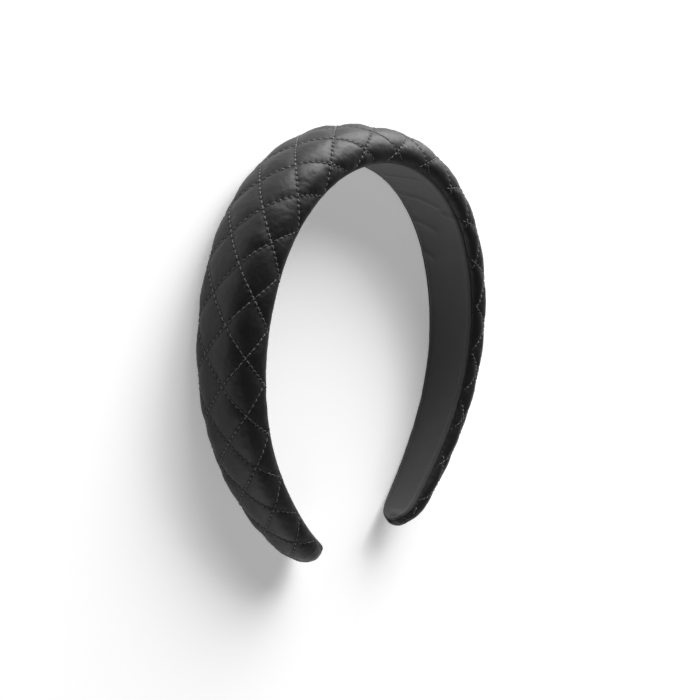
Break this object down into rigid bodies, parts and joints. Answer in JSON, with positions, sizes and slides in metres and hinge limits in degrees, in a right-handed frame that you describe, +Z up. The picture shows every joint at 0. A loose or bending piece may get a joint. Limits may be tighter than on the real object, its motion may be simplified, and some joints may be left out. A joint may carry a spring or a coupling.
{
  "type": "padded headband",
  "caption": "Padded headband with a diamond-quilted cover and a plain cloth lining, widest at the crown and narrowing to two rounded tips, lying on its side.",
  "frame": {"origin": "centre of the footprint, on the surface that the headband lies on", "axes": "+Z up, +Y from the tips towards the crown, X across the head from one arm to the other"},
  "size_m": [0.147, 0.1576, 0.0279],
  "materials": {
    "cover_cloth": "smooth soft-sheen black cloth with a leather look, quilted over foam padding",
    "lining_cloth": "plain matte black woven lining cloth"
  },
  "bodies": {
    "root": {"quilted_cover": "cover_cloth", "lining": "lining_cloth"}
  },
  "joints": []
}
